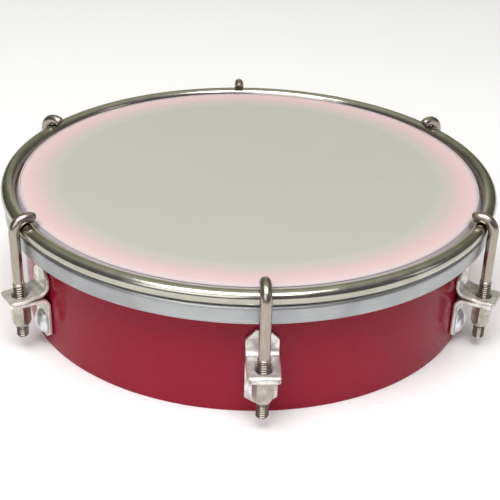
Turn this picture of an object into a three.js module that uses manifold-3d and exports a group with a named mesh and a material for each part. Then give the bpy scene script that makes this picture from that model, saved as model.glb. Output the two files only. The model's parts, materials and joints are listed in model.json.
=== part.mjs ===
// Small single-headed frame drum: an open shell, a drumhead on a channel hoop, and a round wire rim that
// six J hooks pull down against folded lug brackets. Millimetres, +Z up.
// The origin is the centre of the shell's open bottom edge. Station 1 faces -Y, and the stations run
// counter-clockwise seen from above.

import * as THREE from 'three';
import { mergeVertices } from 'three/addons/utils/BufferGeometryUtils.js';
import Module from 'manifold-3d';

const wasm = await Module();
wasm.setup();

// ---- Driving dimensions ----

const STATIONS = 6;
const RING_SEGMENTS = 60; // facets round the drum: a multiple of STATIONS, so a station sits on a facet edge
const ROUND_SEGMENTS = 12; // facets round a small hole, pin or rod
const WELD = 1e-5;
const RIGHT_ANGLE = Math.PI / 2;
const FULL_TURN = 2 * Math.PI;

const SEAT_GAP = 0.2; // a station's pieces stand this far off the round shell
const CONTACT_GAP = 0.1; // between parallel faces that rest on each other
const RUNNING_GAP = 0.15; // round the stem of a rivet and the thread of a hook

// Shell: a 6 inch tube with a rounded bearing edge
const SHELL_R = 76.2;
const SHELL_WALL = 3.0;
const SHELL_TOP = 42.5;
const EDGE_ROUND = 0.9;

// Drumhead: film, channel hoop and the resin that holds the film's edge in the channel
const FILM_THICKNESS = 0.3;
const FILM_TOP = SHELL_TOP + CONTACT_GAP + FILM_THICKNESS;
const FILM_FLAT_R = SHELL_R - 0.5;
const HOOP_R = 81.9;
const HOOP_WIDTH = 4.5;
const HOOP_WALL = 0.8;
const HOOP_BOTTOM = 33.6;
const HOOP_TOP = 39.2;
const HOOP_INNER_WALL_TOP = HOOP_TOP - 1.4;

// Rim: a round rod bent into a ring
const RIM_ROD_R = 2.3;
const RIM_R = 80.4;
const RIM_Z = 41.6;

// Hook: a rod with a rolled thread, bent over the rim
const HOOK_ROD_R = 1.7;
const HOOK_THREAD_R = 1.9;
const HOOK_ENDS = [4.2, 3.4, 3.4, 3.4, 3.4, 5.2]; // each hook's lower end: they are cut to no exact length
const HOOK_THREAD_TOP = 24.2;
const HOOK_BEND_END = THREE.MathUtils.degToRad(120);
const HOOK_BEND_STEPS = 8;
const HOOK_BEND_R = RIM_ROD_R + CONTACT_GAP + HOOK_ROD_R;
const HOOK_AXIS_R = RIM_R + HOOK_BEND_R;

// Bracket: one strip folded into a lower tab, a shelf of two layers that part near the shell, and an upper tab
const STRIP = 1.1;
const STRIP_WIDTH = 9.7;
const TAB_BOTTOM = 3.9;
const TAB_TOP = 29.0;
const SHELF_BOTTOM = 18.3;
const SHELF_END_R = 89.3;
const SHELF_PARTING_R = 85.0; // from here inwards the upper layer climbs away from the lower one
const SHELF_PARTING = 0.6;
const LOWER_BEND_R = 2.0;
const UPPER_BEND_R = 2.6;
const SHELF_HOLE_R = 2.4;
const SHELF_CORNER_R = 1.3;
const TAB_END_HALF_WIDTH = 2.1;
const TAB_CHAMFER_BOTTOM = 2.0;
const TAB_CHAMFER_TOP = 3.1;
const BRACKET_DROPS = [0, 1.5, 0, 0, 0, 0.4]; // how far below the others each bracket is riveted

// Rivet and its washer
const RIVET_Z = 8.8;
const RIVET_STEM_R = 2.0;
const RIVET_HEAD_R = 4.0;
const RIVET_HEAD_HEIGHT = 2.4;
const RIVET_TAIL_R = 3.1;
const RIVET_TAIL_HEIGHT = 1.4;
const WASHER_R = 4.5;
const WASHER_THICKNESS = 0.8;

// Nut: a long hexagon with a tapered lower end
const NUT_ACROSS_FLATS = 5.5;
const NUT_TOP = SHELF_BOTTOM - CONTACT_GAP;
const NUT_BOTTOM = 9.9;
const NUT_TOP_FACE_R = 2.6;
const NUT_TOP_CHAMFER = 0.9;
const NUT_BOTTOM_FACE_R = 2.3;
const NUT_BOTTOM_CHAMFER = 1.9;
const NUT_FACE_TURNS_DEG = [-7, 2, 22, 9, -25, -8]; // where tuning has left each nut

// ---- Materials ----

function metal(colour, roughness) {
  return new THREE.MeshStandardMaterial({ color: colour, roughness, metalness: 1 });
}

function plastic(colour, roughness) {
  return new THREE.MeshStandardMaterial({ color: colour, roughness, metalness: 0 });
}

const redShell = plastic(0x96344a, 0.2);
const film = plastic(0xcfcfc8, 0.5);
const hoopAluminium = metal(0xb4b6b8, 0.45);
const resin = plastic(0xc8b88a, 0.4);
const chrome = metal(0xc4c4ba, 0.12);
const nickel = metal(0xb9b2a6, 0.3);
const rivetAluminium = metal(0xc2c6c8, 0.25);

// ---- Solids ----

function solidOf(geometry) {
  const bare = geometry.clone();
  bare.deleteAttribute('normal');
  bare.deleteAttribute('uv');
  const welded = mergeVertices(bare, WELD);
  const corners = welded.index.array;
  const triangles = [];
  for (let i = 0; i < corners.length; i += 3) {
    const [a, b, c] = [corners[i], corners[i + 1], corners[i + 2]];
    if (a !== b && b !== c && c !== a) {
      triangles.push(a, b, c);
    }
  }
  const vertProperties = welded.attributes.position.array;
  return new wasm.Manifold(new wasm.Mesh({ numProp: 3, vertProperties, triVerts: Uint32Array.from(triangles) }));
}

function geometryOf(solid) {
  const mesh = solid.getMesh();
  const geometry = new THREE.BufferGeometry();
  geometry.setAttribute('position', new THREE.BufferAttribute(mesh.vertProperties, 3));
  geometry.setIndex(new THREE.BufferAttribute(mesh.triVerts, 1));
  geometry.computeVertexNormals();
  return geometry;
}

// A closed outline of [radius, height] points, counter-clockwise, turned about the Z axis.
function turned(outline, segments) {
  const points = outline.map(([radius, height]) => new THREE.Vector2(radius, height));
  return new THREE.LatheGeometry(points, segments).rotateX(RIGHT_ANGLE);
}

function ring(outline, segments) {
  return turned([...outline, outline[0]], segments);
}

// A shape drawn in the XY plane, raised along Z from `bottom` to `top`.
function raised(shape, bottom, top, curveSegments) {
  const depth = top - bottom;
  return new THREE.ExtrudeGeometry(shape, { depth, bevelEnabled: false, curveSegments }).translate(0, 0, bottom);
}

function polygon(points) {
  return new THREE.Shape(points.map(([x, y]) => new THREE.Vector2(x, y)));
}

function roundHole(radius, bottom, top) {
  const height = top - bottom;
  const cylinder = new THREE.CylinderGeometry(radius, radius, height, ROUND_SEGMENTS);
  return cylinder.rotateX(RIGHT_ANGLE).translate(0, 0, (top + bottom) / 2);
}

// The same hole laid along +X, through the height `z`.
function radialHole(radius, from, to, z) {
  return roundHole(radius, from, to).rotateY(RIGHT_ANGLE).translate(0, 0, z);
}

function arcPoints(centreX, centreY, radius, startDeg, endDeg, steps) {
  const points = [];
  for (let i = 0; i <= steps; i += 1) {
    const angle = THREE.MathUtils.degToRad(startDeg + ((endDeg - startDeg) * i) / steps);
    points.push([centreX + radius * Math.cos(angle), centreY + radius * Math.sin(angle)]);
  }
  return points;
}

function stationAngle(index) {
  return -RIGHT_ANGLE + (index * FULL_TURN) / STATIONS;
}

// ---- Shell ----

function shellGeometry() {
  const inner = SHELL_R - SHELL_WALL;
  const roundCentre = SHELL_R - EDGE_ROUND;
  const slopeDrop = roundCentre - inner; // the bearing edge falls inwards at 45 degrees
  const outline = [
    [inner, 0],
    [SHELL_R, 0],
    ...arcPoints(roundCentre, SHELL_TOP - EDGE_ROUND, EDGE_ROUND, 0, 90, 2),
    [inner, SHELL_TOP - slopeDrop],
  ];
  let shell = solidOf(ring(outline, RING_SEGMENTS));
  for (let i = 0; i < STATIONS; i += 1) {
    const hole = radialHole(RIVET_STEM_R + RUNNING_GAP, inner - 2, SHELL_R + 2, RIVET_Z - BRACKET_DROPS[i]);
    shell = shell.subtract(solidOf(hole.rotateZ(stationAngle(i))));
  }
  return geometryOf(shell);
}

// ---- Drumhead ----

// The film's outer side: flat, over the bearing edge, down a sloping collar and into the channel.
const FILM_PATH = [
  [FILM_FLAT_R, FILM_TOP],
  [FILM_FLAT_R + 1.0, FILM_TOP - 0.45],
  [HOOP_R - HOOP_WIDTH + 0.7, HOOP_TOP - 0.1],
  [HOOP_R - HOOP_WIDTH + 1.4, HOOP_TOP - 1.1],
  [HOOP_R - HOOP_WIDTH + 1.4, HOOP_TOP - 3.4],
];

function filmGeometry() {
  const [flatEnd, shoulder, lip, channel, edge] = FILM_PATH;
  const t = FILM_THICKNESS;
  return turned([
    [0, FILM_TOP - t],
    [flatEnd[0], flatEnd[1] - t],
    [shoulder[0] - 0.12, shoulder[1] - t],
    [lip[0] - 0.18, lip[1] - t],
    [channel[0] - t, channel[1] - 0.05],
    [edge[0] - t, edge[1]],
    edge,
    channel,
    lip,
    shoulder,
    flatEnd,
    [0, FILM_TOP],
  ], RING_SEGMENTS);
}

function hoopGeometry() {
  const inner = HOOP_R - HOOP_WIDTH;
  return ring([
    [inner, HOOP_BOTTOM],
    [HOOP_R, HOOP_BOTTOM],
    [HOOP_R, HOOP_TOP - 0.5],
    [HOOP_R - 0.25, HOOP_TOP],
    [HOOP_R - HOOP_WALL, HOOP_TOP],
    [HOOP_R - HOOP_WALL, HOOP_BOTTOM + HOOP_WALL],
    [inner + HOOP_WALL, HOOP_BOTTOM + HOOP_WALL],
    [inner + HOOP_WALL, HOOP_INNER_WALL_TOP],
    [inner, HOOP_INNER_WALL_TOP],
  ], RING_SEGMENTS);
}

function resinGeometry() {
  const inner = HOOP_R - HOOP_WIDTH + HOOP_WALL + CONTACT_GAP;
  const outer = HOOP_R - HOOP_WALL - CONTACT_GAP;
  const bottom = HOOP_BOTTOM + HOOP_WALL + CONTACT_GAP;
  const filmEdge = FILM_PATH[FILM_PATH.length - 1];
  return ring([
    [inner, bottom],
    [outer, bottom],
    [outer, HOOP_INNER_WALL_TOP],
    [filmEdge[0] + CONTACT_GAP, HOOP_INNER_WALL_TOP],
    [filmEdge[0] + CONTACT_GAP, filmEdge[1] - CONTACT_GAP],
    [inner, filmEdge[1] - CONTACT_GAP],
  ], RING_SEGMENTS);
}

// ---- Rim ----

function rimGeometry() {
  return new THREE.TorusGeometry(RIM_R, RIM_ROD_R, ROUND_SEGMENTS, RING_SEGMENTS).translate(0, 0, RIM_Z);
}

// ---- Station pieces, built with +X pointing out of the drum ----

// A round rod through a row of stations in the XZ plane, each with a centre, a direction and a radius.
function rodGeometry(stations) {
  const side = new THREE.Vector3(0, 1, 0);
  const positions = [];
  for (const { centre, direction, radius } of stations) {
    const out = new THREE.Vector3().crossVectors(side, direction);
    for (let i = 0; i < ROUND_SEGMENTS; i += 1) {
      const angle = (i * FULL_TURN) / ROUND_SEGMENTS;
      const corner = centre.clone();
      corner.addScaledVector(out, radius * Math.cos(angle));
      corner.addScaledVector(side, radius * Math.sin(angle));
      positions.push(...corner.toArray());
    }
  }
  const faces = [];
  const last = (stations.length - 1) * ROUND_SEGMENTS;
  for (let i = 0; i < ROUND_SEGMENTS; i += 1) {
    const next = (i + 1) % ROUND_SEGMENTS;
    for (let row = 0; row < last; row += ROUND_SEGMENTS) {
      const above = row + ROUND_SEGMENTS;
      faces.push(row + i, row + next, above + next);
      faces.push(row + i, above + next, above + i);
    }
    if (i > 0 && next > 0) {
      faces.push(0, next, i);
      faces.push(last, last + i, last + next);
    }
  }
  const geometry = new THREE.BufferGeometry();
  geometry.setAttribute('position', new THREE.Float32BufferAttribute(positions, 3));
  geometry.setIndex(faces);
  geometry.computeVertexNormals();
  return geometry;
}

function hookGeometry(end) {
  const up = new THREE.Vector3(0, 0, 1);
  const endChamfer = 0.5;
  const stations = [
    [end, HOOK_THREAD_R - endChamfer],
    [end + endChamfer, HOOK_THREAD_R],
    [HOOK_THREAD_TOP, HOOK_THREAD_R],
    [HOOK_THREAD_TOP + HOOK_THREAD_R - HOOK_ROD_R, HOOK_ROD_R],
  ].map(([z, radius]) => ({ centre: new THREE.Vector3(HOOK_AXIS_R, 0, z), direction: up, radius }));
  for (let i = 0; i <= HOOK_BEND_STEPS; i += 1) {
    const angle = (HOOK_BEND_END * i) / HOOK_BEND_STEPS;
    const outward = new THREE.Vector3(Math.cos(angle), 0, Math.sin(angle));
    const direction = new THREE.Vector3(-Math.sin(angle), 0, Math.cos(angle));
    const centre = new THREE.Vector3(RIM_R, 0, RIM_Z).addScaledVector(outward, HOOK_BEND_R);
    stations.push({ centre, direction, radius: HOOK_ROD_R });
  }
  return rodGeometry(stations);
}

function nutGeometry() {
  const cornerR = NUT_ACROSS_FLATS / Math.sqrt(3);
  const hexagon = [];
  for (let i = 0; i < 6; i += 1) {
    const angle = ((i + 0.5) * FULL_TURN) / 6;
    hexagon.push([cornerR * Math.cos(angle), cornerR * Math.sin(angle)]);
  }
  const prism = solidOf(raised(polygon(hexagon), NUT_BOTTOM, NUT_TOP, 1));
  const chamfers = solidOf(turned([
    [0, NUT_BOTTOM],
    [NUT_BOTTOM_FACE_R, NUT_BOTTOM],
    [cornerR + 0.05, NUT_BOTTOM + NUT_BOTTOM_CHAMFER],
    [cornerR + 0.05, NUT_TOP - NUT_TOP_CHAMFER],
    [NUT_TOP_FACE_R, NUT_TOP],
    [0, NUT_TOP],
  ], 24));
  const bore = solidOf(roundHole(HOOK_THREAD_R + RUNNING_GAP, NUT_BOTTOM - 1, NUT_TOP + 1));
  return geometryOf(prism.intersect(chamfers).subtract(bore));
}

// The strip seen from the side: X is the distance from the drum's axis, Y the height.
function bracketOutline() {
  const back = SHELL_R + SEAT_GAP;
  const front = back + STRIP;
  const layerTop = SHELF_BOTTOM + STRIP;
  const upperBottom = layerTop + CONTACT_GAP;
  const shelfTop = upperBottom + STRIP;
  const hemR = (shelfTop - SHELF_BOTTOM) / 2;
  const hemX = SHELF_END_R - hemR;
  const lowerCentre = [front + LOWER_BEND_R, SHELF_BOTTOM - LOWER_BEND_R];
  const upperCentre = [front + UPPER_BEND_R, shelfTop + SHELF_PARTING + UPPER_BEND_R];
  return polygon([
    [back, TAB_BOTTOM],
    [front, TAB_BOTTOM],
    ...arcPoints(...lowerCentre, LOWER_BEND_R, 180, 90, 3),
    ...arcPoints(hemX, SHELF_BOTTOM + hemR, hemR, -90, 90, 4),
    [SHELF_PARTING_R, shelfTop],
    ...arcPoints(...upperCentre, UPPER_BEND_R, 270, 180, 4),
    [front, TAB_TOP],
    [back, TAB_TOP],
    ...arcPoints(...upperCentre, UPPER_BEND_R + STRIP, 180, 270, 4),
    [SHELF_PARTING_R, upperBottom],
    [hemX, upperBottom],
    [hemX, layerTop],
    ...arcPoints(...lowerCentre, LOWER_BEND_R + STRIP, 90, 180, 3),
  ]);
}

function bracketGeometry() {
  const half = STRIP_WIDTH / 2;
  const folded = raised(bracketOutline(), -half, half, 1).rotateX(RIGHT_ANGLE);
  const frontView = polygon([
    [-TAB_END_HALF_WIDTH, TAB_BOTTOM],
    [TAB_END_HALF_WIDTH, TAB_BOTTOM],
    [half + 0.1, TAB_BOTTOM + TAB_CHAMFER_BOTTOM],
    [half + 0.1, TAB_TOP - TAB_CHAMFER_TOP],
    [TAB_END_HALF_WIDTH, TAB_TOP],
    [-TAB_END_HALF_WIDTH, TAB_TOP],
    [-half - 0.1, TAB_TOP - TAB_CHAMFER_TOP],
    [-half - 0.1, TAB_BOTTOM + TAB_CHAMFER_BOTTOM],
  ]);
  // raised along Z, then stood up so that it is raised along X instead
  const frontCut = raised(frontView, SHELL_R - 5, SHELF_END_R + 5, 1).rotateZ(RIGHT_ANGLE).rotateY(RIGHT_ANGLE);
  const cornerX = SHELF_END_R - SHELF_CORNER_R;
  const cornerY = half - SHELF_CORNER_R;
  const planView = polygon([
    [SHELL_R - 5, -half - 0.1],
    [cornerX - 0.1, -half - 0.1],
    ...arcPoints(cornerX, -cornerY, SHELF_CORNER_R, -90, 0, 3),
    ...arcPoints(cornerX, cornerY, SHELF_CORNER_R, 0, 90, 3),
    [cornerX - 0.1, half + 0.1],
    [SHELL_R - 5, half + 0.1],
  ]);
  const planCut = raised(planView, TAB_BOTTOM - 5, TAB_TOP + 5, 1);
  const shelfHole = roundHole(SHELF_HOLE_R, SHELF_BOTTOM - 2, SHELF_BOTTOM + 5).translate(HOOK_AXIS_R, 0, 0);
  const rivetHole = radialHole(RIVET_STEM_R + RUNNING_GAP, SHELL_R - 5, SHELL_R + 5, RIVET_Z);
  const blank = solidOf(folded).intersect(solidOf(frontCut)).intersect(solidOf(planCut));
  return geometryOf(blank.subtract(solidOf(shelfHole)).subtract(solidOf(rivetHole)));
}

// Stood along +X like the rivet: the turned outline's height becomes the distance from the drum's axis.
function radialTurned(outline) {
  return turned(outline, ROUND_SEGMENTS).rotateY(RIGHT_ANGLE).translate(0, 0, RIVET_Z);
}

// The flat washer bridges the hollow side of the shell, so only its edge comes near the wall.
const WASHER_BRIDGE = (WASHER_R * WASHER_R) / (2 * (SHELL_R - SHELL_WALL));
const WASHER_OUTER_FACE = SHELL_R - SHELL_WALL - SEAT_GAP - WASHER_BRIDGE;
const WASHER_INNER_FACE = WASHER_OUTER_FACE - WASHER_THICKNESS;

function rivetGeometry() {
  const seat = SHELL_R + SEAT_GAP + STRIP + CONTACT_GAP;
  const tail = WASHER_INNER_FACE - CONTACT_GAP;
  return radialTurned([
    [0, tail - RIVET_TAIL_HEIGHT],
    [RIVET_TAIL_R * 0.7, tail - RIVET_TAIL_HEIGHT * 0.8],
    [RIVET_TAIL_R, tail - RIVET_TAIL_HEIGHT * 0.3],
    [RIVET_TAIL_R, tail],
    [RIVET_STEM_R, tail],
    [RIVET_STEM_R, seat],
    [RIVET_HEAD_R, seat],
    [RIVET_HEAD_R * 0.92, seat + RIVET_HEAD_HEIGHT * 0.4],
    [RIVET_HEAD_R * 0.6, seat + RIVET_HEAD_HEIGHT * 0.82],
    [0, seat + RIVET_HEAD_HEIGHT],
  ]);
}

function washerGeometry() {
  const bore = RIVET_STEM_R + RUNNING_GAP;
  return radialTurned([
    [bore, WASHER_INNER_FACE],
    [WASHER_R, WASHER_INNER_FACE],
    [WASHER_R, WASHER_OUTER_FACE],
    [bore, WASHER_OUTER_FACE],
    [bore, WASHER_INNER_FACE],
  ]);
}

// ---- Assembly ----

const drum = new THREE.Group();

function place(parent, name, geometry, material) {
  const mesh = new THREE.Mesh(geometry, material);
  mesh.name = name;
  parent.add(mesh);
  return mesh;
}

place(drum, 'drum_shell', shellGeometry(), redShell);

const head = new THREE.Group();
place(head, 'head_film', filmGeometry(), film);
place(head, 'head_hoop', hoopGeometry(), hoopAluminium);
place(head, 'head_hoop_resin', resinGeometry(), resin);
drum.add(head);

place(drum, 'tension_rim', rimGeometry(), chrome);

const bracket = bracketGeometry();
const rivet = rivetGeometry();
const washer = washerGeometry();
const nut = nutGeometry();

for (let i = 0; i < STATIONS; i += 1) {
  const number = i + 1;
  const station = new THREE.Group();
  station.rotation.z = stationAngle(i);
  const lug = new THREE.Group();
  lug.position.z = -BRACKET_DROPS[i];
  place(lug, `lug_bracket_${number}`, bracket, nickel);
  place(lug, `lug_rivet_${number}`, rivet, rivetAluminium);
  place(lug, `rivet_washer_${number}`, washer, nickel);
  station.add(lug);
  place(station, `tension_hook_${number}`, hookGeometry(HOOK_ENDS[i]), chrome);
  const turnedNut = place(lug, `tension_nut_${number}`, nut, nickel);
  turnedNut.position.x = HOOK_AXIS_R;
  turnedNut.rotation.z = THREE.MathUtils.degToRad(NUT_FACE_TURNS_DEG[i]);
  drum.add(station);
}

export default drum;
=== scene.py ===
import json
import math

import bmesh
import bpy
from mathutils import Matrix, Vector


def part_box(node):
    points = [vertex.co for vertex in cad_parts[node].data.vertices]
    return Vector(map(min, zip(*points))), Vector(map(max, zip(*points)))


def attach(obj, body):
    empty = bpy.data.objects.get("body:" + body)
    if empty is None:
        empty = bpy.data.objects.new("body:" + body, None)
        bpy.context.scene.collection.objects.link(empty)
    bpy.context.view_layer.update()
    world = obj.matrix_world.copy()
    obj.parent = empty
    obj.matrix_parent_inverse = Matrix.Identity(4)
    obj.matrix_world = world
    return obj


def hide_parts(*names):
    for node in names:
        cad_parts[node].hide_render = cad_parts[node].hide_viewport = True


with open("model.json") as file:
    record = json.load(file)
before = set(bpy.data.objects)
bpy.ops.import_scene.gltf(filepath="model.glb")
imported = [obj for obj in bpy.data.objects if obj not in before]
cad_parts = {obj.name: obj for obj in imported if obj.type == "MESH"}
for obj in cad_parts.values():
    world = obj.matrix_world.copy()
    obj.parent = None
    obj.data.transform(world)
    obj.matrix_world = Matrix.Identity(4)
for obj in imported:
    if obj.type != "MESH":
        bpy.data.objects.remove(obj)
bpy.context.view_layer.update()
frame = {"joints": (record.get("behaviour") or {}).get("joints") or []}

# ---- Sizes, in metres ----

MM = 0.001
STATIONS = 6
FULL_TURN = 2 * math.pi
RING_STEPS = 288  # faces round the drum
ROD_STEPS = 36  # faces round a rod or a rivet's hole
SMALL_STEPS = 48  # faces round a rivet, a washer or a nut's bore


def joint(name):
    return next(j for j in frame["joints"] if j["name"] == name)


shell_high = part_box("drum_shell")[1]
SHELL_R = shell_high.x
SHELL_TOP = shell_high.z
SHELL_WALL = 3.0 * MM
EDGE_ROUND = 0.9 * MM

film_low, film_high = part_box("head_film")
FILM_TOP = film_high.z
FILM_EDGE_R = film_high.x
FILM_EDGE_Z = film_low.z
FILM_THICKNESS = 0.3 * MM
FILM_FLAT_R = SHELL_R - 0.6 * MM
FILM_BEND = 1.1 * MM  # over the bearing edge

hoop_low, hoop_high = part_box("head_hoop")
HOOP_R = hoop_high.x
HOOP_BOTTOM = hoop_low.z
HOOP_TOP = hoop_high.z
HOOP_WIDTH = 4.5 * MM
HOOP_WALL = 0.8 * MM
HOOP_INNER_WALL_TOP = HOOP_TOP - 1.4 * MM
HOOP_LIP = 0.6 * MM  # how far the outer wall's top edge leans in over the channel
HOOP_LIP_HEIGHT = 0.8 * MM

rim_low, rim_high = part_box("tension_rim")
RIM_ROD_R = (rim_high.z - rim_low.z) / 2
RIM_R = rim_high.x - RIM_ROD_R
RIM_Z = (rim_high.z + rim_low.z) / 2

hook_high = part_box("tension_hook_1")[1]
HOOK_AXIS_R = -joint("nut_1_turn")["pos_m"][1]
HOOK_BEND_R = HOOK_AXIS_R - RIM_R
HOOK_ROD_R = hook_high.z - RIM_Z - HOOK_BEND_R
HOOK_THREAD_R = hook_high.x
HOOK_THREAD_TOP = 24.2 * MM
HOOK_BEND_END = math.radians(120)
THREAD_PITCH = 0.8 * MM
THREAD_DEPTH = 0.42 * MM

bracket_low, bracket_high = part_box("lug_bracket_1")
STRIP = 1.1 * MM
STRIP_HALF_WIDTH = bracket_high.x
STRIP_EDGE_ROUND = 0.24 * MM
TAB_BACK_R = -bracket_high.y
TAB_BOTTOM = bracket_low.z
TAB_TOP = bracket_high.z
TAB_END_HALF_WIDTH = 2.1 * MM
TAB_CHAMFER_BOTTOM = 2.0 * MM
TAB_CHAMFER_TOP = 3.1 * MM
SHELF_END_R = -bracket_low.y
SHELF_BOTTOM = 18.3 * MM
SHELF_GAP = 0.1 * MM  # between its two layers
SHELF_TOP = SHELF_BOTTOM + 2 * STRIP + SHELF_GAP
SHELF_CORNER_R = 1.3 * MM
SHELF_HOLE_R = 2.4 * MM
SHELF_PARTING_R = 85.0 * MM  # from here inward the upper layer lifts off the lower one
SHELF_PARTING = 0.6 * MM
LOWER_BEND_R = 2.0 * MM
UPPER_BEND_R = 2.6 * MM

rivet_low, rivet_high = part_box("lug_rivet_1")
RIVET_Z = (rivet_low.z + rivet_high.z) / 2
RIVET_HEAD_R = (rivet_high.z - rivet_low.z) / 2
RIVET_HEAD_END = -rivet_low.y
RIVET_TAIL_END = -rivet_high.y
RIVET_HEAD_HEIGHT = 2.4 * MM
RIVET_TAIL_HEIGHT = 1.4 * MM
RIVET_TAIL_R = 3.1 * MM
RIVET_STEM_R = 2.0 * MM

washer_low, washer_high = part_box("rivet_washer_1")
WASHER_R = (washer_high.z - washer_low.z) / 2
WASHER_OUTER_FACE = -washer_low.y
WASHER_INNER_FACE = -washer_high.y

nut_low, nut_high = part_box("tension_nut_1")
NUT_BOTTOM = nut_low.z
NUT_TOP = nut_high.z
NUT_ACROSS_FLATS = 5.5 * MM
NUT_BORE_R = 2.05 * MM
NUT_TOP_FACE_R = 2.6 * MM
NUT_TOP_CHAMFER = 0.9 * MM
NUT_BOTTOM_FACE_R = 2.3 * MM
NUT_BOTTOM_CHAMFER = 1.9 * MM
NUT_FACE_TURNS_DEG = [-7, 2, 22, 9, -25, -8]


# ---- Outlines ----

def rounded(corners, steps=4, closed=True):
    """Points through corners (x, y, radius), each turned over `radius` along both its sides."""
    points = []
    last = len(corners) - 1
    for i, (x, y, radius) in enumerate(corners):
        corner = Vector((x, y))
        if radius == 0 or (not closed and i in (0, last)):
            points.append(corner)
            continue
        before = Vector(corners[i - 1][:2])
        after = Vector(corners[(i + 1) % len(corners)][:2])
        start = corner + (before - corner).normalized() * radius
        end = corner + (after - corner).normalized() * radius
        for k in range(steps + 1):
            t = k / steps
            points.append(start * (1 - t) ** 2 + corner * 2 * t * (1 - t) + end * t ** 2)
    return points


def arc(centre_x, centre_y, radius, start_deg, end_deg, steps):
    points = []
    for k in range(steps + 1):
        angle = math.radians(start_deg + (end_deg - start_deg) * k / steps)
        points.append(Vector((centre_x + radius * math.cos(angle), centre_y + radius * math.sin(angle))))
    return points


# ---- Meshes ----

def bridge(bm, lower, upper):
    count = len(lower)
    for i in range(count):
        j = (i + 1) % count
        bm.faces.new((lower[i], lower[j], upper[j], upper[i]))


def turned(outline, steps):
    """Turns points (radius, height) about Z. An outline that starts and ends on the axis closes there; any
    other is a closed loop."""
    bm = bmesh.new()
    on_axis = outline[0][0] < 1e-9
    inner = outline[1:-1] if on_axis else outline
    rings = []
    for radius, height in inner:
        ring = []
        for i in range(steps):
            angle = i * FULL_TURN / steps
            ring.append(bm.verts.new((radius * math.cos(angle), radius * math.sin(angle), height)))
        rings.append(ring)
    for lower, upper in zip(rings, rings[1:]):
        bridge(bm, lower, upper)
    if on_axis:
        for ring, (_, height) in ((rings[0], outline[0]), (rings[-1], outline[-1])):
            pole = bm.verts.new((0, 0, height))
            for i in range(steps):
                bm.faces.new((ring[i], ring[(i + 1) % steps], pole))
    else:
        bridge(bm, rings[-1], rings[0])
    return bm


def swept(rings):
    """A closed tube through rings of equal length, with flat ends."""
    bm = bmesh.new()
    made = [[bm.verts.new(point) for point in ring] for ring in rings]
    for lower, upper in zip(made, made[1:]):
        bridge(bm, lower, upper)
    bm.faces.new(made[0])
    bm.faces.new(made[-1])
    return bm


def mesh_of(bm, name, matrix=None):
    bmesh.ops.recalc_face_normals(bm, faces=bm.faces)
    if matrix is not None:
        bm.transform(matrix)
    mesh = bpy.data.meshes.new(name)
    bm.to_mesh(mesh)
    bm.free()
    return mesh


def with_modifiers(mesh, steps):
    """The mesh after modifiers, each given as (type, {setting: value})."""
    holder = bpy.data.objects.new("holder", mesh)
    bpy.context.scene.collection.objects.link(holder)
    for kind, settings in steps:
        modifier = holder.modifiers.new(kind.lower(), kind)
        for setting, value in settings.items():
            setattr(modifier, setting, value)
    bpy.context.view_layer.update()
    evaluated = holder.evaluated_get(bpy.context.evaluated_depsgraph_get())
    result = bpy.data.meshes.new_from_object(evaluated)
    bpy.data.objects.remove(holder)
    return result


def combined(mesh, operation, cutters):
    """The mesh after one exact boolean with each cutter in turn."""
    helpers = []
    for cutter in cutters:
        helper = bpy.data.objects.new("cutter", cutter)
        bpy.context.scene.collection.objects.link(helper)
        helpers.append(helper)
    settings = {"operation": operation, "solver": "EXACT"}
    result = with_modifiers(mesh, [("BOOLEAN", {**settings, "object": helper}) for helper in helpers])
    for helper in helpers:
        bpy.data.objects.remove(helper)
    return result


def piece(name, mesh, material, body, node=None, sharp_deg=32):
    """Shows a mesh as the piece that stands for a CAD node, riding on one of the CAD's bodies."""
    mesh.materials.clear()
    mesh.materials.append(material)
    mesh.shade_smooth()
    mesh.set_sharp_from_angle(angle=math.radians(sharp_deg))
    shown = bpy.data.objects.new(name, mesh)
    bpy.context.scene.collection.objects.link(shown)
    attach(shown, body)
    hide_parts(node or name.replace("_look", ""))
    return shown


# ---- Materials ----

def linear(red, green, blue):
    """An sRGB colour of 0 to 255 as the linear one that a shader takes."""
    channels = []
    for value in (red, green, blue):
        share = value / 255
        channels.append(share / 12.92 if share <= 0.04045 else ((share + 0.055) / 1.055) ** 2.4)
    return (*channels, 1.0)


class Nodes:
    """Short calls for the shader nodes used here."""

    def __init__(self, tree):
        self.tree = tree

    def add(self, kind, inputs=None, **settings):
        made = self.tree.nodes.new(kind)
        for setting, value in settings.items():
            setattr(made, setting, value)
        for key, value in (inputs or {}).items():
            self.feed(made.inputs[key], value)
        return made

    def feed(self, socket, value):
        if isinstance(value, bpy.types.NodeSocket):
            self.tree.links.new(value, socket)
        else:
            socket.default_value = value

    def between(self, value, from_low, from_high, to_low, to_high):
        inputs = {0: value, 1: from_low, 2: from_high, 3: to_low, 4: to_high}
        return self.add("ShaderNodeMapRange", inputs).outputs[0]

    def mix(self, share, first, second):
        made = self.add("ShaderNodeMix", data_type="RGBA")
        self.feed(made.inputs[0], share)
        self.feed(made.inputs[6], first)
        self.feed(made.inputs[7], second)
        return made.outputs[2]

    def ramp(self, value, stops):
        made = self.add("ShaderNodeValToRGB", {0: value})
        elements = made.color_ramp.elements
        while len(elements) < len(stops):
            elements.new(0.5)
        for element, (position, colour) in zip(elements, stops):
            element.position = position
            element.color = colour
        return made.outputs[0]


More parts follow.
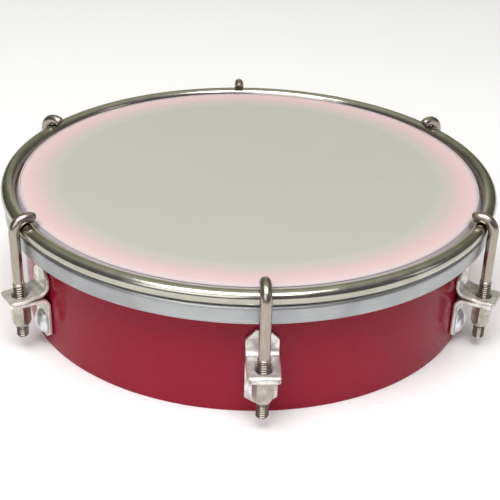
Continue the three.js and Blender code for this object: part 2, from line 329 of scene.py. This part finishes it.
class Shader(Nodes):
    """One material, whose patterns are set out in the object's own coordinates."""

    def __init__(self, name):
        self.material = bpy.data.materials.new(name)
        self.material.use_nodes = True
        super().__init__(self.material.node_tree)
        self.surface = self.tree.nodes["Principled BSDF"]
        self.place = self.add("ShaderNodeTexCoord").outputs["Object"]

    def set(self, **inputs):
        for key, value in inputs.items():
            self.feed(self.surface.inputs[key.replace("_", " ")], value)

    def noise(self, scale, detail=3.0, vector=None, roughness=0.5):
        inputs = {"Vector": vector or self.place, "Scale": scale, "Detail": detail, "Roughness": roughness}
        return self.add("ShaderNodeTexNoise", inputs).outputs["Fac"]

    def radius(self):
        """Distance from the drum's axis."""
        parts = self.add("ShaderNodeSeparateXYZ", {0: self.place})
        flat = self.add("ShaderNodeCombineXYZ", {0: parts.outputs[0], 1: parts.outputs[1]})
        return self.add("ShaderNodeVectorMath", {0: flat.outputs[0]}, operation="LENGTH").outputs["Value"]

    def around(self, along, across):
        """Coordinates that run round the drum, for marks that are long along a ring and fine across it."""
        parts = self.add("ShaderNodeSeparateXYZ", {0: self.place})
        turn = self.add("ShaderNodeMath", {0: parts.outputs[1], 1: parts.outputs[0]}, operation="ARCTAN2")
        turn = self.add("ShaderNodeMath", {0: turn.outputs[0], 1: along}, operation="MULTIPLY")
        out = self.add("ShaderNodeMath", {0: self.radius(), 1: across}, operation="MULTIPLY")
        up = self.add("ShaderNodeMath", {0: parts.outputs[2], 1: across}, operation="MULTIPLY")
        joined = {0: turn.outputs[0], 1: out.outputs[0], 2: up.outputs[0]}
        return self.add("ShaderNodeCombineXYZ", joined).outputs[0]

    def stretched(self, x, y, z):
        """Object coordinates scaled by axis, for scratches and grain."""
        scaled = self.add("ShaderNodeVectorMath", {0: self.place, 1: (x, y, z)}, operation="MULTIPLY")
        return scaled.outputs[0]

    def bump(self, height, strength, distance):
        inputs = {"Height": height, "Strength": strength, "Distance": distance}
        return self.add("ShaderNodeBump", inputs).outputs["Normal"]


def red_lacquer():
    shade = Shader("red_lacquer")
    cloud = shade.noise(38, 4)
    colour = shade.ramp(cloud, [(0.3, linear(142, 18, 40)), (0.7, linear(146, 20, 43))])
    scuffs = shade.noise(1.0, 2, shade.around(4, 1600))
    colour = shade.mix(shade.between(scuffs, 0.66, 0.74, 0, 0.06), colour, linear(186, 96, 108))
    fine = shade.noise(900, 2)
    shade.set(
        Base_Color=colour,
        Roughness=shade.between(fine, 0.3, 0.7, 0.24, 0.3),
        Specular_IOR_Level=0.05,
        Coat_Weight=0.3,
        Coat_Roughness=0.04,
        Normal=shade.bump(fine, 0.04, 0.05 * MM),
    )
    return shade.material


def coated_film():
    shade = Shader("coated_film")
    radius = shade.radius()
    mottle = shade.noise(55, 5)
    # Colour by distance from the axis. The pink band from about 65 to 77 mm out is painted light: the red
    # glow of the shell's inner wall shining through the film near the bearing edge. Past it the film turns
    # greyer and darker over the collar.
    colour = shade.ramp(shade.between(radius, 0, 80 * MM, 0, 1), [
        (0.0, linear(179, 179, 172)),
        (0.79, linear(182, 181, 174)),
        (0.815, linear(190, 186, 181)),
        (0.85, linear(198, 184, 180)),
        (0.88, linear(211, 185, 183)),
        (0.925, linear(219, 190, 189)),
        (0.944, linear(215, 195, 196)),
        (0.962, linear(192, 184, 188)),
        (1.0, linear(168, 164, 168)),
    ])
    colour = shade.mix(shade.between(mottle, 0.35, 0.65, 0, 0.06), colour, linear(160, 158, 152))
    grain = shade.noise(2600, 2)
    shade.set(
        Base_Color=colour,
        Roughness=shade.between(mottle, 0.3, 0.7, 0.5, 0.56),
        Specular_IOR_Level=0.3,
        Normal=shade.bump(grain, 0.1, 0.04 * MM),
    )
    return shade.material


def drawn_aluminium():
    shade = Shader("drawn_aluminium")
    lines = shade.noise(1.0, 4, shade.around(3, 5200), 0.6)
    cloud = shade.noise(70, 3)
    colour = shade.ramp(lines, [(0.3, linear(162, 164, 166)), (0.7, linear(188, 190, 191))])
    colour = shade.mix(shade.between(cloud, 0.42, 0.62, 0, 0.5), colour, linear(146, 146, 152))
    shade.set(
        Base_Color=colour,
        Metallic=1.0,
        Roughness=shade.between(lines, 0.3, 0.7, 0.36, 0.48),
        Normal=shade.bump(lines, 0.12, 0.02 * MM),
    )
    return shade.material


def satin_steel():
    """The hooks: drawn rod with fine lines along it, and painted shade darkening the thread's grooves."""
    shade = Shader("satin_steel")
    lines = shade.noise(1.0, 3, shade.stretched(4200, 4200, 160))
    haze = shade.noise(260, 4)
    groove = shade.add("ShaderNodeAttribute", attribute_name="groove").outputs["Fac"]
    colour = shade.ramp(lines, [(0.3, linear(155, 146, 135)), (0.7, linear(179, 170, 159))])
    colour = shade.mix(shade.between(haze, 0.4, 0.7, 0, 0.25), colour, linear(150, 140, 122))
    # Painted shade: darker brown towards the bottom of each thread groove, by the groove depth that
    # hook_mesh stores on each point.
    colour = shade.mix(shade.between(groove, 0.25, 0.9, 0, 0.8), colour, linear(84, 74, 60))
    shade.set(
        Base_Color=colour,
        Metallic=1.0,
        Roughness=shade.between(lines, 0.3, 0.7, 0.2, 0.32),
        Normal=shade.bump(lines, 0.1, 0.02 * MM),
    )
    return shade.material


def chrome():
    shade = Shader("chrome")
    haze = shade.noise(160, 4)
    shade.set(
        Base_Color=shade.ramp(haze, [(0.3, linear(172, 170, 156)), (0.7, linear(188, 186, 173))]),
        Metallic=1.0,
        Roughness=shade.between(haze, 0.35, 0.7, 0.14, 0.22),
        Normal=shade.bump(haze, 0.05, 0.1 * MM),
    )
    return shade.material


def nickel_plate(name, dull, bright, smoothest, roughest, metallic):
    shade = Shader(name)
    haze = shade.noise(340, 5)
    grain = shade.noise(1.0, 3, shade.stretched(5200, 5200, 700))
    pits = shade.noise(1300, 2)
    colour = shade.ramp(haze, [(0.36, dull), (0.62, bright)])
    colour = shade.mix(shade.between(pits, 0.64, 0.72, 0, 0.55), colour, linear(120, 112, 98))
    marks = shade.add("ShaderNodeMath", {0: grain, 1: haze}, operation="ADD").outputs[0]
    shade.set(
        Base_Color=colour,
        Metallic=metallic,
        Roughness=shade.between(haze, 0.36, 0.62, roughest, smoothest),
        Normal=shade.bump(marks, 0.2, 0.05 * MM),
    )
    return shade.material


def rivet_metal():
    shade = Shader("rivet_metal")
    haze = shade.noise(420, 4)
    shade.set(
        Base_Color=shade.ramp(haze, [(0.3, linear(222, 223, 228)), (0.7, linear(244, 245, 249))]),
        Metallic=0.75,
        Roughness=shade.between(haze, 0.3, 0.7, 0.32, 0.42),
        Normal=shade.bump(haze, 0.08, 0.05 * MM),
    )
    return shade.material


def cast_resin():
    shade = Shader("cast_resin")
    cloud = shade.noise(300, 4)
    shade.set(
        Base_Color=shade.ramp(cloud, [(0.3, linear(186, 168, 118)), (0.7, linear(208, 192, 146))]),
        Roughness=shade.between(cloud, 0.3, 0.7, 0.25, 0.4),
        Normal=shade.bump(cloud, 0.2, 0.1 * MM),
    )
    return shade.material


# ---- Shell ----

def build_shell():
    inner = SHELL_R - SHELL_WALL
    slope_drop = SHELL_WALL - EDGE_ROUND
    below_holes = 4.8 * MM  # two edges round the wall keep the rivet holes' odd faces under the tabs
    above_holes = 11.3 * MM
    outline = rounded([
        (inner, 0, 0.3 * MM),
        (SHELL_R, 0, 0.15 * MM),
        (SHELL_R, below_holes, 0),
        (SHELL_R, above_holes, 0),
        (SHELL_R, SHELL_TOP, EDGE_ROUND),
        (SHELL_R - EDGE_ROUND, SHELL_TOP, 0.3 * MM),
        (inner, SHELL_TOP - slope_drop, 0.4 * MM),
        (inner, above_holes, 0),
        (inner, below_holes, 0),
    ])
    wall = mesh_of(turned(outline, RING_STEPS), "wall")
    drills = []
    for i in range(STATIONS):
        place = station_place(i) @ lug_drop(i + 1) @ ALONG_X
        drills.append(mesh_of(stem_hole(inner - MM, SHELL_R + MM), "drill", place))
    mesh = combined(wall, "DIFFERENCE", drills)
    piece("drum_shell_look", mesh, red_lacquer(), "shell")


# ---- Drumhead ----

def build_head():
    channel_r = FILM_EDGE_R
    outer = rounded([
        (0, FILM_TOP, 0),
        (FILM_FLAT_R, FILM_TOP, FILM_BEND),
        (FILM_FLAT_R + FILM_BEND, FILM_TOP - 0.5 * MM, 0.6 * MM),
        (channel_r - 0.7 * MM, HOOP_TOP - 0.1 * MM, 0.5 * MM),
        (channel_r, HOOP_TOP - 1.1 * MM, 0.5 * MM),
        (channel_r, FILM_EDGE_Z, 0),
    ], steps=6, closed=False)
    inner = []
    for i, point in enumerate(outer):
        before = outer[max(i - 1, 0)]
        after = outer[min(i + 1, len(outer) - 1)]
        run = (after - before).normalized()
        inner.append(point + Vector((run.y, -run.x)) * FILM_THICKNESS)
    inner[0].x = 0
    flat = [Vector((FILM_FLAT_R * share, FILM_TOP)) for share in (0.25, 0.5, 0.7, 0.85, 0.95)]
    outline = [outer[0], *flat, *outer[1:], *reversed(inner)]
    mesh = mesh_of(turned(outline, RING_STEPS), "head_film_look")
    piece("head_film_look", mesh, coated_film(), "head")

    inside = HOOP_R - HOOP_WIDTH
    mesh = mesh_of(turned(rounded([
        (inside, HOOP_BOTTOM, 0.5 * MM),
        (HOOP_R, HOOP_BOTTOM, 0.7 * MM),
        (HOOP_R, HOOP_TOP, 1.2 * MM),
        (HOOP_R - HOOP_WALL - HOOP_LIP, HOOP_TOP, 0.2 * MM),
        (HOOP_R - HOOP_WALL - HOOP_LIP, HOOP_TOP - HOOP_LIP_HEIGHT, 0.2 * MM),
        (HOOP_R - HOOP_WALL, HOOP_TOP - HOOP_LIP_HEIGHT - HOOP_LIP, 0.3 * MM),
        (HOOP_R - HOOP_WALL, HOOP_BOTTOM + HOOP_WALL, 0.3 * MM),
        (inside + HOOP_WALL, HOOP_BOTTOM + HOOP_WALL, 0.3 * MM),
        (inside + HOOP_WALL, HOOP_INNER_WALL_TOP, 0.3 * MM),
        (inside, HOOP_INNER_WALL_TOP, 0.3 * MM),
    ]), RING_STEPS), "head_hoop_look")
    piece("head_hoop_look", mesh, drawn_aluminium(), "head")

    gap = 0.1 * MM
    mesh = mesh_of(turned(rounded([
        (inside + HOOP_WALL + gap, HOOP_BOTTOM + HOOP_WALL + gap, 0.2 * MM),
        (HOOP_R - HOOP_WALL - gap, HOOP_BOTTOM + HOOP_WALL + gap, 0.2 * MM),
        (HOOP_R - HOOP_WALL - gap, HOOP_INNER_WALL_TOP, 0.2 * MM),
        (channel_r + gap, HOOP_INNER_WALL_TOP - 0.2 * MM, 0),
        (channel_r + gap, FILM_EDGE_Z - gap, 0),
        (inside + HOOP_WALL + gap, FILM_EDGE_Z - gap, 0.2 * MM),
    ]), RING_STEPS), "head_hoop_resin_look")
    piece("head_hoop_resin_look", mesh, cast_resin(), "head")


# ---- Rim ----

def build_rim():
    weld_angle = math.radians(62)
    weld_width = 0.022
    weld_swell = 0.03
    rings = []
    for i in range(RING_STEPS):
        angle = i * FULL_TURN / RING_STEPS
        swell = math.exp(-((angle - weld_angle) / weld_width) ** 2)
        radius = RIM_ROD_R * (1 + weld_swell * swell)
        out = Vector((math.cos(angle), math.sin(angle), 0))
        ring = []
        for k in range(ROD_STEPS):
            turn = k * FULL_TURN / ROD_STEPS
            reach = RIM_R + radius * math.cos(turn)
            ring.append(out * reach + Vector((0, 0, RIM_Z + radius * math.sin(turn))))
        rings.append(ring)
    bm = bmesh.new()
    made = [[bm.verts.new(point) for point in ring] for ring in rings]
    for first, second in zip(made, made[1:] + made[:1]):
        bridge(bm, first, second)
    piece("tension_rim_look", mesh_of(bm, "tension_rim_look"), chrome(), "rim")


# ---- Station pieces, made with +X pointing out of the drum ----

def rod_ring(centre, direction, radii):
    side = Vector((0, 1, 0))
    out = side.cross(direction)
    ring = []
    for k, radius in enumerate(radii):
        turn = k * FULL_TURN / len(radii)
        ring.append(centre + out * radius * math.cos(turn) + side * radius * math.sin(turn))
    return ring


def hook_mesh(bottom):
    """A hook whose thread starts at the height `bottom`. Each point knows how deep in a groove it lies."""
    up = Vector((0, 0, 1))
    rings = []
    grooves = []
    rows_a_turn = 9
    length = HOOK_THREAD_TOP - bottom
    rows = round(length / THREAD_PITCH * rows_a_turn)
    end_taper = 0.7 * MM
    run_out = 1.0 * MM
    for row in range(rows + 1):
        rise = length * row / rows
        limit = HOOK_THREAD_R - 0.8 * MM * max(0, 1 - rise / end_taper) ** 2
        fade = min(1, (length - rise) / run_out)
        radii = []
        for k in range(ROD_STEPS):
            phase = rise / THREAD_PITCH - k / ROD_STEPS
            groove = fade * (1 - (0.5 + 0.5 * math.cos(FULL_TURN * phase)) ** 0.8)
            radii.append(min(limit, HOOK_THREAD_R - THREAD_DEPTH * groove))
            grooves.append(groove)
        rings.append(rod_ring(Vector((HOOK_AXIS_R, 0, bottom + rise)), up, radii))
    plain = [HOOK_ROD_R] * ROD_STEPS
    step_down = HOOK_THREAD_R - HOOK_ROD_R
    for rise in (step_down, 3 * step_down):
        rings.append(rod_ring(Vector((HOOK_AXIS_R, 0, HOOK_THREAD_TOP + rise)), up, plain))
    bend_steps = 24
    tip_round = 0.45 * MM
    tip_steps = 4
    bend_centre = Vector((RIM_R, 0, RIM_Z))
    for step in range(bend_steps + 1):
        angle = HOOK_BEND_END * step / bend_steps
        outward = Vector((math.cos(angle), 0, math.sin(angle)))
        direction = Vector((-math.sin(angle), 0, math.cos(angle)))
        rings.append(rod_ring(bend_centre + outward * HOOK_BEND_R, direction, plain))
    tip = bend_centre + outward * HOOK_BEND_R
    for k in range(1, tip_steps + 1):
        turn = k * math.pi / 2 / tip_steps
        centre = tip + direction * tip_round * math.sin(turn)
        radius = HOOK_ROD_R - tip_round * (1 - math.cos(turn))
        rings.append(rod_ring(centre, direction, [radius] * ROD_STEPS))
    mesh = mesh_of(swept(rings), "hook")
    grooves += [0.0] * (len(mesh.vertices) - len(grooves))
    mesh.attributes.new("groove", "FLOAT", "POINT").data.foreach_set("value", grooves)
    return mesh


def nut_mesh():
    corner_r = NUT_ACROSS_FLATS / math.sqrt(3)
    hexagon = []
    for i in range(6):
        turn = (i + 0.5) * FULL_TURN / 6
        hexagon.append((corner_r * math.cos(turn), corner_r * math.sin(turn)))
    prism = mesh_of(swept([[(x, y, z) for x, y in hexagon] for z in (NUT_BOTTOM, NUT_TOP)]), "nut")
    reach = corner_r + 0.1 * MM
    chamfers = mesh_of(turned([
        (0, NUT_BOTTOM - 1e-6),
        (NUT_BOTTOM_FACE_R, NUT_BOTTOM - 1e-6),
        (reach, NUT_BOTTOM + NUT_BOTTOM_CHAMFER),
        (reach, NUT_TOP - NUT_TOP_CHAMFER),
        (NUT_TOP_FACE_R, NUT_TOP + 1e-6),
        (0, NUT_TOP + 1e-6),
    ], 96), "nut_chamfers")
    mouth = 0.12 * MM
    bore = mesh_of(turned([
        (0, NUT_BOTTOM - MM),
        (NUT_BORE_R + mouth + MM, NUT_BOTTOM - MM),
        (NUT_BORE_R, NUT_BOTTOM + mouth),
        (NUT_BORE_R, NUT_TOP - mouth),
        (NUT_BORE_R + mouth + MM, NUT_TOP + MM),
        (0, NUT_TOP + MM),
    ], SMALL_STEPS), "nut_bore")
    solid = combined(combined(prism, "INTERSECT", [chamfers]), "DIFFERENCE", [bore])
    bevel = {"width": 0.07 * MM, "segments": 2, "limit_method": "ANGLE", "angle_limit": math.radians(20)}
    return with_modifiers(solid, [("BEVEL", bevel)])


def strip_path():
    """The strip's middle line from the side: up the lower tab, out and back over the shelf, up again."""
    front = TAB_BACK_R + STRIP
    middle = TAB_BACK_R + STRIP / 2
    hem_r = (SHELF_TOP - SHELF_BOTTOM) / 2
    hem_x = SHELF_END_R - hem_r
    upper_centre = (front + UPPER_BEND_R, SHELF_TOP + SHELF_PARTING + UPPER_BEND_R)
    lower = arc(front + LOWER_BEND_R, SHELF_BOTTOM - LOWER_BEND_R, LOWER_BEND_R + STRIP / 2, 180, 90, 10)
    hem = arc(hem_x, SHELF_BOTTOM + hem_r, hem_r - STRIP / 2, -90, 90, 14)
    upper = arc(*upper_centre, UPPER_BEND_R + STRIP / 2, 270, 180, 12)
    run_out = [Vector((lower[-1].x + (hem_x - lower[-1].x) * k / 3, lower[-1].y)) for k in (1, 2)]
    climb = []
    climb_steps = 7
    for k in range(climb_steps):
        share = k / climb_steps
        rise = SHELF_PARTING * share * share * (3 - 2 * share)
        reach = SHELF_PARTING_R + (upper[0].x - SHELF_PARTING_R) * share
        climb.append(Vector((reach, SHELF_TOP - STRIP / 2 + rise)))
    return [
        Vector((middle, TAB_BOTTOM)),
        Vector((middle, TAB_BOTTOM + TAB_CHAMFER_BOTTOM)),
        *lower, *run_out, *hem, *climb, *upper,
        Vector((middle, TAB_TOP - TAB_CHAMFER_TOP)),
        Vector((middle, TAB_TOP)),
    ]


def strip_half_width(point):
    """Half the strip's width at `point`: narrow at both ends, with rounded corners at the shelf's end."""
    if point.y < TAB_BOTTOM + TAB_CHAMFER_BOTTOM:
        share = (point.y - TAB_BOTTOM) / TAB_CHAMFER_BOTTOM
        return TAB_END_HALF_WIDTH + (STRIP_HALF_WIDTH - TAB_END_HALF_WIDTH) * share
    if point.y > TAB_TOP - TAB_CHAMFER_TOP:
        share = (TAB_TOP - point.y) / TAB_CHAMFER_TOP
        return TAB_END_HALF_WIDTH + (STRIP_HALF_WIDTH - TAB_END_HALF_WIDTH) * share
    into_corner = point.x + STRIP / 2 - (SHELF_END_R - SHELF_CORNER_R)
    if into_corner > 0:
        drop = SHELF_CORNER_R - math.sqrt(max(0, SHELF_CORNER_R ** 2 - into_corner ** 2))
        return STRIP_HALF_WIDTH - min(drop, SHELF_CORNER_R)
    return STRIP_HALF_WIDTH


def strip_ring(point, run, half_width, inset):
    """The strip's cross-section: a rectangle with rounded edges, across the path at `point`."""
    across = Vector((-run.y, run.x))
    half_thick = STRIP / 2 - inset
    half_width = half_width - inset
    edge = min(STRIP_EDGE_ROUND, half_thick * 0.9)
    ring = []
    corner_steps = 3
    for side_w, side_t, start in ((1, 1, 0), (-1, 1, 90), (-1, -1, 180), (1, -1, 270)):
        for k in range(corner_steps + 1):
            turn = math.radians(start + 90 / corner_steps * k)
            wide = side_w * (half_width - edge) + edge * math.cos(turn)
            thick = side_t * (half_thick - edge) + edge * math.sin(turn)
            place = point + across * thick
            ring.append(Vector((place.x, wide, place.y)))
    return ring


def bracket_mesh():
    path = strip_path()
    rings = []
    last = len(path) - 1
    for i, point in enumerate(path):
        before = path[max(i - 1, 0)]
        after = path[min(i + 1, last)]
        run = (after - before).normalized()
        width = strip_half_width(point)
        if 0 < i < last:
            rings.append(strip_ring(point, run, width, 0))
            continue
        inward = run if i == 0 else -run
        for degrees in (0, 45, 90) if i == 0 else (90, 45, 0):
            turn = math.radians(degrees)
            inset = STRIP_EDGE_ROUND * (1 - math.sin(turn))
            back = STRIP_EDGE_ROUND * (1 - math.cos(turn))
            rings.append(strip_ring(point + inward * back, run, width, inset))
    solid = mesh_of(swept(rings), "bracket")
    flare = 0.35 * MM
    punch = mesh_of(turned([
        (0, SHELF_BOTTOM - MM),
        (SHELF_HOLE_R + flare + MM, SHELF_BOTTOM - MM),
        (SHELF_HOLE_R, SHELF_BOTTOM + flare),
        (SHELF_HOLE_R, SHELF_TOP - flare),
        (SHELF_HOLE_R + flare + MM, SHELF_TOP + MM),
        (0, SHELF_TOP + MM),
    ], 64), "punch", Matrix.Translation((HOOK_AXIS_R, 0, 0)))
    drill = mesh_of(stem_hole(TAB_BACK_R - MM, TAB_BACK_R + STRIP + MM), "drill", ALONG_X)
    return combined(solid, "DIFFERENCE", [punch, drill])


# Turns a shape made about Z so that its height runs along +X, through the height of the rivets.
ALONG_X = Matrix.Translation((0, 0, RIVET_Z)) @ Matrix.Rotation(math.pi / 2, 4, "Y")


def stem_hole(start, end):
    """What a rivet's hole takes away, before it is laid along X."""
    radius = RIVET_STEM_R + 0.15 * MM
    return turned([(0, start), (radius, start), (radius, end), (0, end)], ROD_STEPS)


def station_place(index):
    return Matrix.Rotation(index * FULL_TURN / STATIONS - math.pi / 2, 4, "Z")


def lug_drop(number):
    """How far this bracket, with its rivet and nut, sits below the first one."""
    return Matrix.Translation((0, 0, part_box(f"lug_bracket_{number}")[0].z - TAB_BOTTOM))


def rivet_mesh():
    seat = RIVET_HEAD_END - RIVET_HEAD_HEIGHT
    tail = RIVET_TAIL_END + RIVET_TAIL_HEIGHT
    brim = 0.35 * MM
    dome_height = RIVET_HEAD_HEIGHT - brim
    dome_r = (RIVET_HEAD_R ** 2 + dome_height ** 2) / (2 * dome_height)
    dome = []
    dome_steps = 12
    for k in range(dome_steps + 1):
        turn = math.asin(RIVET_HEAD_R / dome_r) * (1 - k / dome_steps)
        dome.append(Vector((dome_r * math.sin(turn), RIVET_HEAD_END - dome_r * (1 - math.cos(turn)))))
    below_dome = rounded([
        (0, RIVET_TAIL_END, 0),
        (RIVET_TAIL_R * 0.8, RIVET_TAIL_END, 0.7 * MM),
        (RIVET_TAIL_R, tail - 0.4 * MM, 0.3 * MM),
        (RIVET_TAIL_R, tail, 0),
        (RIVET_STEM_R, tail, 0),
        (RIVET_STEM_R, seat, 0),
        (RIVET_HEAD_R, seat, 0.15 * MM),
    ], closed=False)
    return mesh_of(turned([*below_dome, *dome], SMALL_STEPS), "rivet", ALONG_X)


def washer_mesh():
    bore = RIVET_STEM_R + 0.15 * MM
    return mesh_of(turned(rounded([
        (bore, WASHER_INNER_FACE, 0.12 * MM),
        (WASHER_R, WASHER_INNER_FACE, 0.25 * MM),
        (WASHER_R, WASHER_OUTER_FACE, 0.12 * MM),
        (bore, WASHER_OUTER_FACE, 0.12 * MM),
    ]), SMALL_STEPS), "washer", ALONG_X)


def build_stations():
    sheet = nickel_plate("plated_sheet", linear(200, 197, 188), linear(242, 239, 234), 0.34, 0.5, 0.75)
    hexagon = nickel_plate("plated_hexagon", linear(160, 155, 142), linear(186, 181, 169), 0.26, 0.36, 1.0)
    rivet_alloy = rivet_metal()
    hook_steel = satin_steel()
    nut = nut_mesh()
    bracket = bracket_mesh()
    rivet = rivet_mesh()
    washer = washer_mesh()
    for i in range(STATIONS):
        number = i + 1
        station = station_place(i)
        lug = station @ lug_drop(number)
        face_turn = Matrix.Rotation(math.radians(NUT_FACE_TURNS_DEG[i]), 4, "Z")
        nut_place = lug @ Matrix.Translation((HOOK_AXIS_R, 0, 0)) @ face_turn
        hook = hook_mesh(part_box(f"tension_hook_{number}")[0].z)
        for stem, made, place, material, body, slot in (
            ("lug_bracket", bracket, lug, sheet, "shell", "nickel_steel"),
            ("lug_rivet", rivet, lug, rivet_alloy, "shell", "rivet_aluminium"),
            ("rivet_washer", washer, lug, sheet, "shell", "nickel_steel"),
            ("tension_hook", hook, station, hook_steel, f"hook_{number}", "chrome_rod"),
            ("tension_nut", nut, nut_place, hexagon, f"nut_{number}", "nickel_steel"),
        ):
            mesh = made.copy()
            mesh.transform(place)
            piece(f"{stem}_look_{number}", mesh, material, body, f"{stem}_{number}")


# ---- Surroundings ----

def build_floor():
    half_side = 3.0
    bm = bmesh.new()
    bmesh.ops.create_grid(bm, x_segments=8, y_segments=8, size=half_side)
    floor = bpy.data.objects.new("floor", mesh_of(bm, "floor"))
    floor.location.z = -0.1 * MM  # clear of the shell's bottom edge
    bpy.context.scene.collection.objects.link(floor)
    shade = Shader("floor_paper")
    cloud = shade.noise(6, 2)
    shade.set(
        Base_Color=shade.ramp(cloud, [(0.3, (0.95, 0.95, 0.95, 1)), (0.7, (0.97, 0.97, 0.97, 1))]),
        Roughness=0.9,
        Specular_IOR_Level=0.1,
    )
    floor.data.materials.append(shade.material)


def area_light(name, place, aim, size, power, colour=(1, 1, 1)):
    data = bpy.data.lights.new(name, "AREA")
    data.shape = "RECTANGLE"
    data.size, data.size_y = size
    data.energy = power
    data.color = colour
    light = bpy.data.objects.new(name, data)
    light.location = place
    light.rotation_euler = (Vector(aim) - Vector(place)).to_track_quat("-Z", "Y").to_euler()
    bpy.context.scene.collection.objects.link(light)


def build_world():
    """What the metal mirrors: a dark room in front of the drum and a pale one behind it."""
    world = bpy.data.worlds.new("studio")
    bpy.context.scene.world = world
    world.use_nodes = True
    nodes = Nodes(world.node_tree)
    direction = nodes.add("ShaderNodeTexCoord").outputs["Generated"]
    parts = nodes.add("ShaderNodeSeparateXYZ", {0: direction})
    height = nodes.between(parts.outputs[2], -1, 1, 0, 1)
    front = nodes.ramp(height, [
        (0.5, (0.08, 0.075, 0.095, 1)),
        (0.62, (0.14, 0.13, 0.16, 1)),
        (0.8, (0.16, 0.15, 0.17, 1)),
        (1.0, (0.5, 0.5, 0.5, 1)),
    ])
    back = nodes.ramp(height, [
        (0.5, (0.42, 0.41, 0.32, 1)),
        (0.62, (0.72, 0.72, 0.56, 1)),
        (0.74, (0.26, 0.26, 0.20, 1)),
        (1.0, (0.7, 0.7, 0.58, 1)),
    ])
    aside = nodes.add("ShaderNodeMath", {0: parts.outputs[0]}, operation="ABSOLUTE").outputs[0]
    low = nodes.between(parts.outputs[2], 0.3, 0.7, 1, 0)
    wide = nodes.between(aside, 0.12, 0.35, 0, 1)
    corner = nodes.add("ShaderNodeMath", {0: wide, 1: low}, operation="MULTIPLY")
    back = nodes.mix(corner.outputs[0], back, (0.13, 0.13, 0.10, 1))
    share = nodes.between(parts.outputs[1], -0.15, 0.45, 0, 1)
    background = world.node_tree.nodes["Background"]
    nodes.feed(background.inputs["Color"], nodes.mix(share, front, back))
    background.inputs["Strength"].default_value = 1.0


def build_lights():
    area_light("overhead", (-0.1, -0.42, 1.05), (0, 0, 0), (1.0, 0.64), 12.3)
    area_light("front", (-0.6, -1.15, 0.75), (0, 0, 0.02), (1.1, 0.7), 4.5)
    area_light("right", (1.2, -0.3, 0.5), (0, 0, 0.02), (0.3, 0.5), 0.4)


# The camera stands this far round from the front, this far up, and is then turned by small amounts.
CAMERA_AZIMUTH = math.radians(-3.753)
CAMERA_ELEVATION = math.radians(30.14)
CAMERA_DISTANCE = 0.379
CAMERA_LENS_MM = 76.05
CAMERA_PAN = math.radians(-0.143)
CAMERA_TILT = math.radians(1.690)
CAMERA_ROLL = math.radians(1.616)


def build_camera():
    data = bpy.data.cameras.new("camera")
    data.sensor_width = 36
    data.lens = CAMERA_LENS_MM
    data.clip_start = 0.01
    camera = bpy.data.objects.new("camera", data)
    bpy.context.scene.collection.objects.link(camera)
    level = math.cos(CAMERA_ELEVATION)
    place = CAMERA_DISTANCE * Vector((
        math.sin(CAMERA_AZIMUTH) * level,
        -math.cos(CAMERA_AZIMUTH) * level,
        math.sin(CAMERA_ELEVATION),
    ))
    look = (-place).to_track_quat("-Z", "Y").to_matrix().to_4x4()
    pan = Matrix.Rotation(CAMERA_PAN, 4, "Y")
    tilt = Matrix.Rotation(CAMERA_TILT, 4, "X")
    roll = Matrix.Rotation(CAMERA_ROLL, 4, "Z")
    camera.matrix_world = Matrix.Translation(place) @ look @ pan @ tilt @ roll
    bpy.context.scene.camera = camera


build_shell()
build_head()
build_rim()
build_stations()
build_floor()
build_world()
build_lights()
build_camera()
bpy.context.scene.view_settings.view_transform = "Standard"
